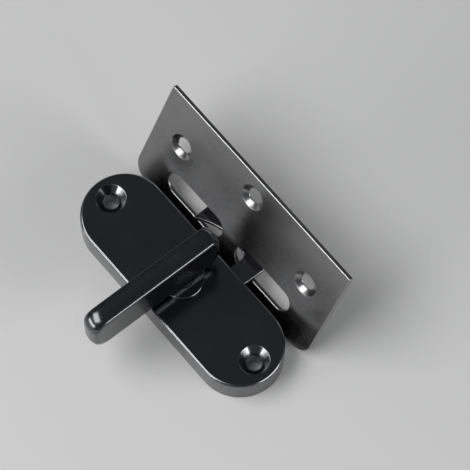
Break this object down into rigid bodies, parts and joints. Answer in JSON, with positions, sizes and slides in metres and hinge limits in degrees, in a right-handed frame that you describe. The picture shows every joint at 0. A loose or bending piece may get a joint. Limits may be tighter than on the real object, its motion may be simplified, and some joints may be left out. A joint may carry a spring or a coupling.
{
  "type": "toggle bolt latch",
  "caption": "Black turn-handle latch: a curved hook swings out of a round-ended base and passes behind the bridge of a slotted, screw-on keeper plate.",
  "frame": {"origin": "on the handle's pivot axis, in the plane of the base's back face", "axes": "+X along the base's long axis, +Y towards the keeper plate, +Z out of the door face, along the pivot"},
  "size_m": [0.07, 0.058, 0.0336],
  "materials": {
    "black_cover": "glossy black-nickel plate over polished steel",
    "black_handle": "glossy black-nickel plate with softened edges",
    "black_hook": "black-nickel plate on stamped steel",
    "black_keeper": "satin black-nickel plate on stamped steel",
    "zinc_steel": "zinc-plated steel",
    "spring_steel": "oiled spring steel",
    "bush_brass": "turned brass"
  },
  "bodies": {
    "root": {"cover": "black_cover", "back_plate": "zinc_steel", "back_screws": "zinc_steel", "screw_sleeve_left": "zinc_steel", "screw_sleeve_right": "zinc_steel", "pivot_bush": "black_cover", "lower_bush": "bush_brass", "stop_pin": "zinc_steel", "keeper_plate": "black_keeper"},
    "bolt": {"handle": "black_handle", "spindle": "black_hook", "hook_plate": "black_hook", "wave_washer": "spring_steel", "retaining_clip": "spring_steel"}
  },
  "joints": [
    {"name": "handle_turn", "type": "hinge", "parent": "root", "child": "bolt", "pos_m": [0, 0, 0], "axis": [0, 0, -1], "range_deg": [0, 87.5]}
  ]
}
